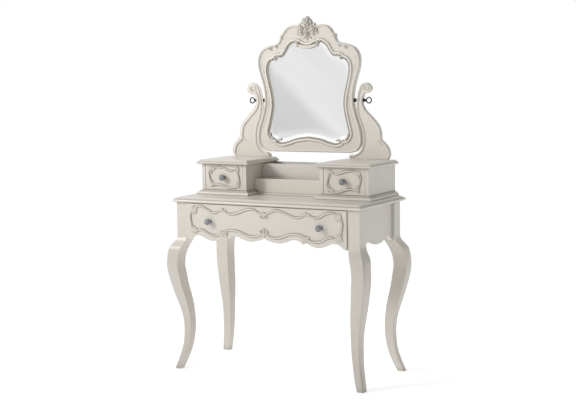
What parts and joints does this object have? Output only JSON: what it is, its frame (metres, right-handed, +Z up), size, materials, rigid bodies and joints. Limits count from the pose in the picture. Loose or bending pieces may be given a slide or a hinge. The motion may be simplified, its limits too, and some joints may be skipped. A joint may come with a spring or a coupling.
{
  "type": "vanity table with mirror",
  "caption": "Painted vanity table on cabriole legs with a scalloped wide drawer, a hutch with small drawers and open bins, and a tilting shaped mirror.",
  "frame": {"origin": "on the floor, in the middle of the four posts, which is also the middle of the overall box", "axes": "+X to the sitter's right, +Y to the back, +Z up; the wide drawer faces -Y"},
  "size_m": [0.9718, 0.4642, 1.543],
  "materials": {
    "painted_wood": "antique white satin paint with a soft brown glaze rubbed into edges and corners",
    "glazed_moulding": "antique white paint with a beige-grey glaze left in the carving",
    "bare_wood": "clear-sealed pale hardwood and plywood",
    "pewter": "antique pewter casting",
    "black_iron": "black lacquered metal",
    "mirror_glass": "silvered glass with a polished bevel"
  },
  "bodies": {
    "carcass": {"tabletop": "painted_wood", "leg_front_left": "painted_wood", "leg_front_right": "painted_wood", "leg_rear_left": "painted_wood", "leg_rear_right": "painted_wood", "side_apron_left": "painted_wood", "side_apron_right": "painted_wood", "back_apron": "painted_wood", "front_top_rail": "painted_wood", "drawer_runner_left": "bare_wood", "drawer_runner_right": "bare_wood", "hutch_base_left": "painted_wood", "hutch_base_right": "painted_wood", "hutch_slab_left": "painted_wood", "hutch_slab_right": "painted_wood", "hutch_outer_side_left": "painted_wood", "hutch_outer_side_right": "painted_wood", "hutch_inner_side_left": "painted_wood", "hutch_inner_side_right": "painted_wood", "hutch_back_panel": "painted_wood", "bin_floor": "painted_wood", "bin_front_low": "painted_wood", "bin_front_high": "painted_wood", "mirror_support_left": "painted_wood", "mirror_support_right": "painted_wood"},
    "wide_drawer": {"wide_drawer_front": "painted_wood", "wide_drawer_moulding": "glazed_moulding", "wide_drawer_side_left": "bare_wood", "wide_drawer_side_right": "bare_wood", "wide_drawer_back": "bare_wood", "wide_drawer_bottom": "bare_wood", "wide_drawer_knob_left": "pewter", "wide_drawer_knob_right": "pewter"},
    "small_drawer_left": {"small_drawer_left_front": "painted_wood", "small_drawer_left_moulding": "glazed_moulding", "small_drawer_left_side_left": "bare_wood", "small_drawer_left_side_right": "bare_wood", "small_drawer_left_back": "bare_wood", "small_drawer_left_bottom": "bare_wood", "small_drawer_left_knob": "pewter"},
    "small_drawer_right": {"small_drawer_right_front": "painted_wood", "small_drawer_right_moulding": "glazed_moulding", "small_drawer_right_side_left": "bare_wood", "small_drawer_right_side_right": "bare_wood", "small_drawer_right_back": "bare_wood", "small_drawer_right_bottom": "bare_wood", "small_drawer_right_knob": "pewter"},
    "mirror": {"mirror_frame": "painted_wood", "mirror_inner_moulding": "glazed_moulding", "mirror_glass": "mirror_glass", "mirror_backing": "bare_wood", "mirror_back_cover": "bare_wood", "crown_carving": "glazed_moulding", "pivot_bush_left": "black_iron", "pivot_bush_right": "black_iron"},
    "thumbscrew_left": {"thumbscrew_left": "black_iron"},
    "thumbscrew_right": {"thumbscrew_right": "black_iron"}
  },
  "joints": [
    {"name": "wide_drawer_slide", "type": "slide", "parent": "carcass", "child": "wide_drawer", "axis": [0, -1, 0], "range_m": [0, 0.25]},
    {"name": "small_drawer_left_slide", "type": "slide", "parent": "carcass", "child": "small_drawer_left", "axis": [0, -1, 0], "range_m": [0, 0.15]},
    {"name": "small_drawer_right_slide", "type": "slide", "parent": "carcass", "child": "small_drawer_right", "axis": [0, -1, 0], "range_m": [0, 0.15]},
    {"name": "mirror_tilt", "type": "hinge", "parent": "carcass", "child": "mirror", "pos_m": [0, 0.2095, 1.173], "axis": [1, 0, 0], "range_deg": [-20, 20]},
    {"name": "thumbscrew_left_turn", "type": "hinge", "parent": "carcass", "child": "thumbscrew_left", "pos_m": [-0.2955, 0.2095, 1.173], "axis": [1, 0, 0], "continuous": true},
    {"name": "thumbscrew_right_turn", "type": "hinge", "parent": "carcass", "child": "thumbscrew_right", "pos_m": [0.2955, 0.2095, 1.173], "axis": [1, 0, 0], "continuous": true}
  ]
}
